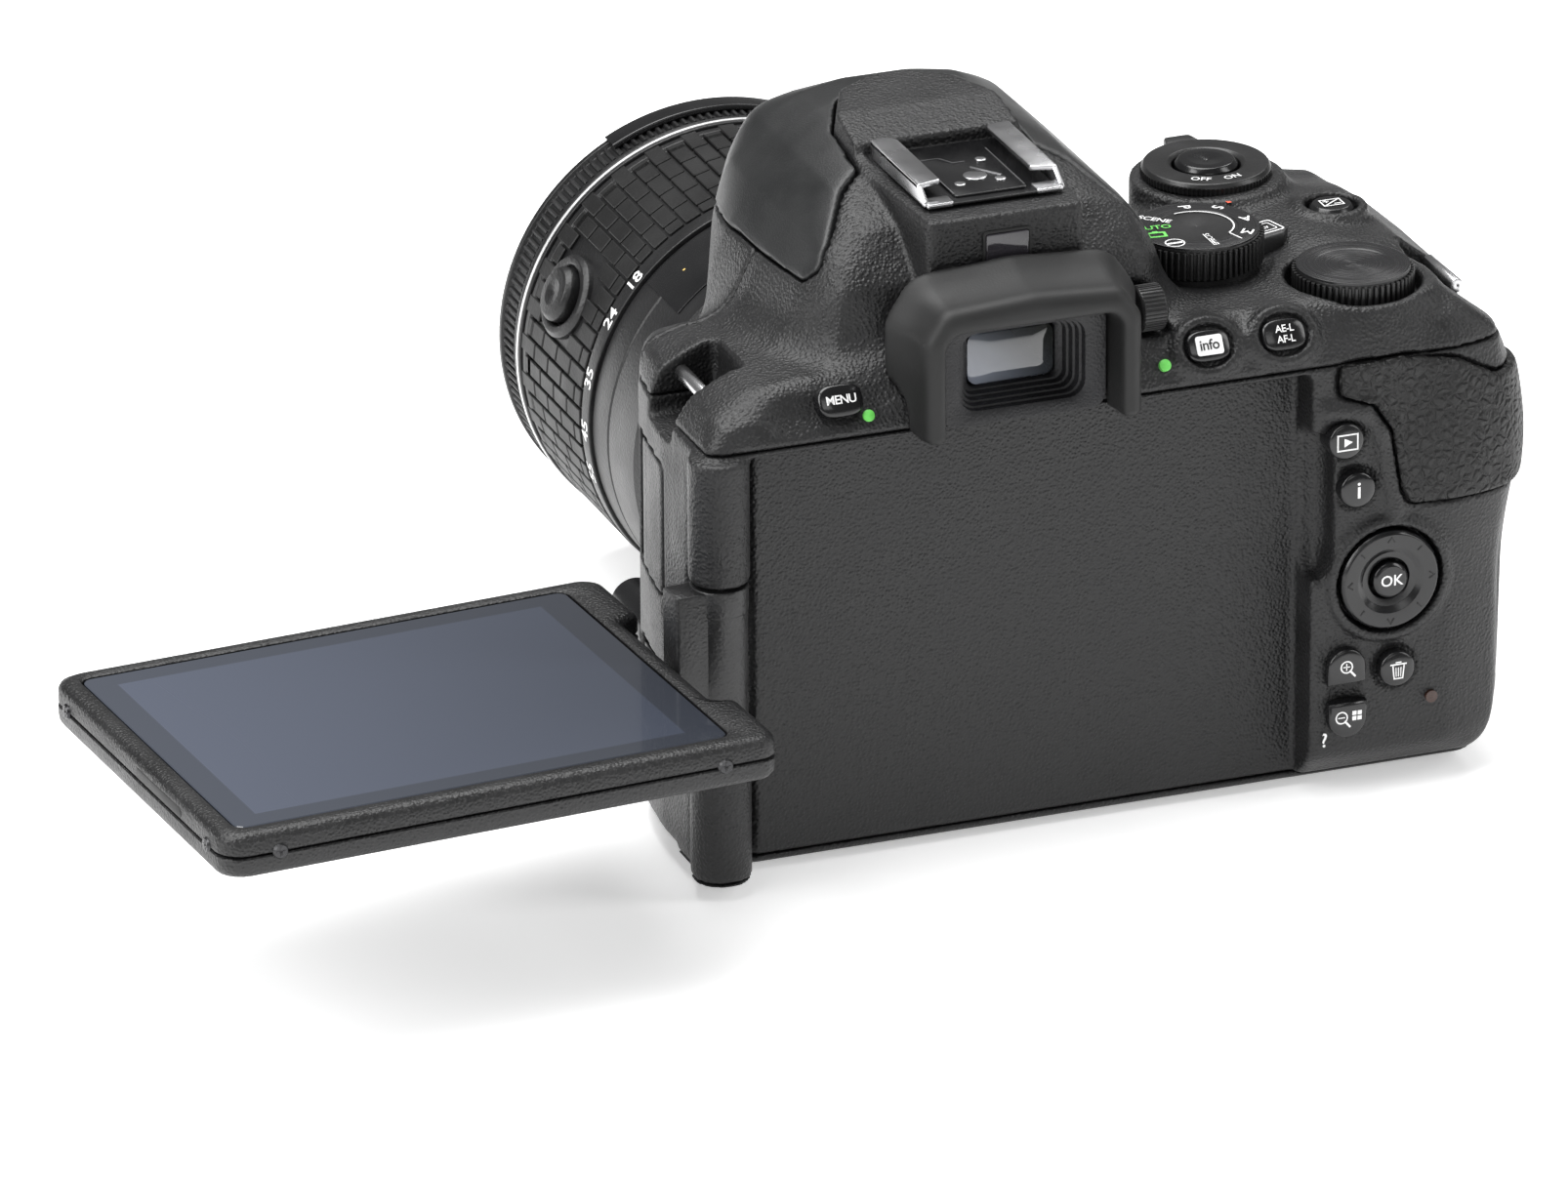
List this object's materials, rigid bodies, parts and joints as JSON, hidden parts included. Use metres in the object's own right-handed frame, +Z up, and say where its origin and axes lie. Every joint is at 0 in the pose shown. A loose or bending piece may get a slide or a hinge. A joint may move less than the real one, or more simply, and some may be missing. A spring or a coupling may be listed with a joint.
{
  "type": "interchangeable-lens reflex camera",
  "caption": "Reflex camera with standard zoom lens, pop-up flash, accessory shoe, control dials and a side-hinged monitor that swings out and turns over.",
  "frame": {"origin": "on the base, under the lens axis, at the focal plane", "axes": "+Z up, -Y along the lens axis towards the subject, +X towards the monitor hinge, the hand grip is on -X"},
  "size_m": [0.2131, 0.1615, 0.0971],
  "materials": {
    "casing": "fine-grained black moulded plastic",
    "grip_rubber": "leather-grained black rubber",
    "soft_rubber": "smooth satin black rubber",
    "ribbed_rubber": "moulded black rubber with blocks and ribs",
    "button_rubber": "satin black moulded key",
    "dial_black": "spun black",
    "steel": "plain steel",
    "shoe_metal": "satin plated",
    "lens_plastic": "satin black",
    "clear_glass": "coated optical glass",
    "screen_glass": "dark display behind glass",
    "board": "green board and dark cell",
    "mirror_face": "front-silvered"
  },
  "bodies": {
    "camera_body": {"front_shell": "casing", "rear_cover": "casing", "top_cover": "casing", "base_plate": "casing", "grip_rubber": "grip_rubber", "thumb_rubber": "grip_rubber", "eyecup": "soft_rubber", "eyepiece_frame": "casing", "eyepiece_lens": "clear_glass", "pentaprism": "clear_glass", "focusing_screen": "clear_glass", "accessory_shoe": "shoe_metal", "shoe_contact_plate": "dial_black", "strap_lug_left": "steel", "strap_lug_right": "steel", "tripod_socket": "steel", "lens_mount_ring": "steel", "focal_plane_shutter": "dial_black", "image_sensor": "screen_glass", "circuit_board": "board", "battery_pack": "board", "lens_barrel": "lens_plastic"},
    "hinge_pin": {"hinge_pin": "steel"},
    "hinge_block": {"hinge_block": "casing", "tilt_pin": "steel"},
    "monitor": {"monitor_rear_cover": "casing", "monitor_bezel": "casing", "display_panel": "screen_glass", "monitor_glass": "screen_glass"},
    "inner_barrel": {"inner_barrel": "lens_plastic", "front_element": "clear_glass"},
    "mode_dial": {"mode_dial": "dial_black"},
    "command_dial": {"command_dial": "dial_black"},
    "live_view_lever": {"live_view_lever": "button_rubber"},
    "power_lever": {"power_lever": "casing"},
    "diopter_dial": {"diopter_dial": "dial_black"},
    "flash_head": {"flash_head": "casing"},
    "card_door": {"card_door": "casing"},
    "battery_door": {"battery_door": "casing"},
    "port_cover_upper": {"port_cover_upper": "soft_rubber"},
    "port_cover_lower": {"port_cover_lower": "soft_rubber"},
    "reflex_mirror": {"reflex_mirror": "mirror_face"},
    "zoom_ring": {"zoom_ring": "ribbed_rubber"},
    "focus_ring": {"focus_ring": "ribbed_rubber"},
    "lens_lock_button": {"lens_lock_button": "lens_plastic"},
    "shutter_button": {"shutter_button": "dial_black"},
    "exposure_button": {"exposure_button": "button_rubber"},
    "lens_release_button": {"lens_release_button": "dial_black"},
    "function_button": {"function_button": "button_rubber"},
    "flash_button": {"flash_button": "button_rubber"},
    "menu_button": {"menu_button": "button_rubber"},
    "info_button": {"info_button": "button_rubber"},
    "exposure_lock_button": {"exposure_lock_button": "button_rubber"},
    "playback_button": {"playback_button": "button_rubber"},
    "info_menu_button": {"info_menu_button": "button_rubber"},
    "zoom_in_button": {"zoom_in_button": "button_rubber"},
    "zoom_out_button": {"zoom_out_button": "button_rubber"},
    "delete_button": {"delete_button": "button_rubber"},
    "direction_pad": {"direction_pad": "button_rubber"},
    "ok_button": {"ok_button": "button_rubber"}
  },
  "joints": [
    {"name": "monitor_swing_inner", "type": "hinge", "parent": "camera_body", "child": "hinge_pin", "pos_m": [0.044, 0.0155, 0.0335], "axis": [0, 0, -1], "range_deg": [-88, 0]},
    {"name": "monitor_swing_outer", "type": "hinge", "parent": "hinge_pin", "child": "hinge_block", "pos_m": [0.044, 0.0155, 0.0335], "axis": [0, 0, -1], "range_deg": [-88, 4]},
    {"name": "monitor_tilt", "type": "hinge", "parent": "hinge_block", "child": "monitor", "pos_m": [0.044, 0.0155, 0.0335], "axis": [-0.9976, -0.0698, 0], "range_deg": [-90, 180]},
    {"name": "mode_dial_turn", "type": "hinge", "parent": "camera_body", "child": "mode_dial", "pos_m": [-0.036, -0.0063, 0.078], "axis": [0, 0, 1], "continuous": true},
    {"name": "command_dial_turn", "type": "hinge", "parent": "camera_body", "child": "command_dial", "pos_m": [-0.0548, 0.0059, 0.074], "axis": [0, 0, 1], "continuous": true},
    {"name": "live_view_lever_turn", "type": "hinge", "parent": "camera_body", "child": "live_view_lever", "pos_m": [-0.036, -0.0063, 0.075], "axis": [0, 0, 1], "range_deg": [0, 18], "stiffness_Nm_per_rad": 0.02},
    {"name": "power_lever_turn", "type": "hinge", "parent": "camera_body", "child": "power_lever", "pos_m": [-0.048, -0.032, 0.078], "axis": [0, 0, 1], "range_deg": [0, 35]},
    {"name": "diopter_turn", "type": "hinge", "parent": "camera_body", "child": "diopter_dial", "pos_m": [-0.0215, 0.0115, 0.0765], "axis": [1, 0, 0], "range_deg": [-120, 120]},
    {"name": "flash_raise", "type": "hinge", "parent": "camera_body", "child": "flash_head", "pos_m": [0, 0, 0.092], "axis": [-1, 0, 0], "range_deg": [0, 55]},
    {"name": "card_door_swing", "type": "hinge", "parent": "camera_body", "child": "card_door", "pos_m": [-0.0752, 0.0119, 0.027], "axis": [0, 0, -1], "range_deg": [0, 90]},
    {"name": "battery_door_swing", "type": "hinge", "parent": "camera_body", "child": "battery_door", "pos_m": [-0.0548, -0.023, 0.0005], "axis": [0, -1, 0], "range_deg": [0, 90]},
    {"name": "port_cover_upper_swing", "type": "hinge", "parent": "camera_body", "child": "port_cover_upper", "pos_m": [0.0467, 0.0001, 0.049], "axis": [0, 0, 1], "range_deg": [0, 90]},
    {"name": "port_cover_lower_swing", "type": "hinge", "parent": "camera_body", "child": "port_cover_lower", "pos_m": [0.0467, 0.0001, 0.02], "axis": [0, 0, 1], "range_deg": [0, 90]},
    {"name": "mirror_flip", "type": "hinge", "parent": "camera_body", "child": "reflex_mirror", "pos_m": [0, -0.009, 0.048], "axis": [-1, 0, 0], "range_deg": [0, 43]},
    {"name": "zoom_turn", "type": "hinge", "parent": "camera_body", "child": "zoom_ring", "pos_m": [0, -0.085, 0.035], "axis": [0, -1, 0], "range_deg": [0, 95]},
    {"name": "barrel_extend", "type": "slide", "parent": "camera_body", "child": "inner_barrel", "axis": [0, -1, 0], "range_m": [0, 0.022]},
    {"name": "focus_turn", "type": "hinge", "parent": "inner_barrel", "child": "focus_ring", "pos_m": [0, -0.105, 0.035], "axis": [0, -1, 0], "continuous": true},
    {"name": "lens_lock_press", "type": "slide", "parent": "zoom_ring", "child": "lens_lock_button", "axis": [-0.9063, 0, -0.4226], "range_m": [0, 0.001], "stiffness_N_per_m": 150},
    {"name": "shutter_press", "type": "slide", "parent": "camera_body", "child": "shutter_button", "axis": [0, 0, -1], "range_m": [0, 0.0006], "stiffness_N_per_m": 150},
    {"name": "exposure_press", "type": "slide", "parent": "camera_body", "child": "exposure_button", "axis": [0, 0, -1], "range_m": [0, 0.0006], "stiffness_N_per_m": 150},
    {"name": "lens_release_press", "type": "slide", "parent": "camera_body", "child": "lens_release_button", "axis": [0, 1, 0], "range_m": [0, 0.0015], "stiffness_N_per_m": 150},
    {"name": "function_press", "type": "slide", "parent": "camera_body", "child": "function_button", "axis": [0, 1, 0], "range_m": [0, 0.0006], "stiffness_N_per_m": 150},
    {"name": "flash_key_press", "type": "slide", "parent": "camera_body", "child": "flash_button", "axis": [-1, 0, 0], "range_m": [0, 0.0006], "stiffness_N_per_m": 150},
    {"name": "menu_press", "type": "slide", "parent": "camera_body", "child": "menu_button", "axis": [0, -0.866, -0.5], "range_m": [0, 0.0006], "stiffness_N_per_m": 150},
    {"name": "info_press", "type": "slide", "parent": "camera_body", "child": "info_button", "axis": [0, -0.866, -0.5], "range_m": [0, 0.0006], "stiffness_N_per_m": 150},
    {"name": "exposure_lock_press", "type": "slide", "parent": "camera_body", "child": "exposure_lock_button", "axis": [0, -0.866, -0.5], "range_m": [0, 0.0006], "stiffness_N_per_m": 150},
    {"name": "playback_press", "type": "slide", "parent": "camera_body", "child": "playback_button", "axis": [0, -1, 0], "range_m": [0, 0.0006], "stiffness_N_per_m": 150},
    {"name": "info_menu_press", "type": "slide", "parent": "camera_body", "child": "info_menu_button", "axis": [0, -1, 0], "range_m": [0, 0.0006], "stiffness_N_per_m": 150},
    {"name": "zoom_in_press", "type": "slide", "parent": "camera_body", "child": "zoom_in_button", "axis": [0, -1, 0], "range_m": [0, 0.0006], "stiffness_N_per_m": 150},
    {"name": "zoom_out_press", "type": "slide", "parent": "camera_body", "child": "zoom_out_button", "axis": [0, -1, 0], "range_m": [0, 0.0006], "stiffness_N_per_m": 150},
    {"name": "delete_press", "type": "slide", "parent": "camera_body", "child": "delete_button", "axis": [0, -1, 0], "range_m": [0, 0.0006], "stiffness_N_per_m": 150},
    {"name": "direction_pad_press", "type": "slide", "parent": "camera_body", "child": "direction_pad", "axis": [0, -1, 0], "range_m": [0, 0.0006], "stiffness_N_per_m": 150},
    {"name": "ok_press", "type": "slide", "parent": "camera_body", "child": "ok_button", "axis": [0, -1, 0], "range_m": [0, 0.0006], "stiffness_N_per_m": 150}
  ],
  "couplings": [
    {"joint": "barrel_extend", "follows": "zoom_turn", "m_per_rad": 0.0132}
  ]
}
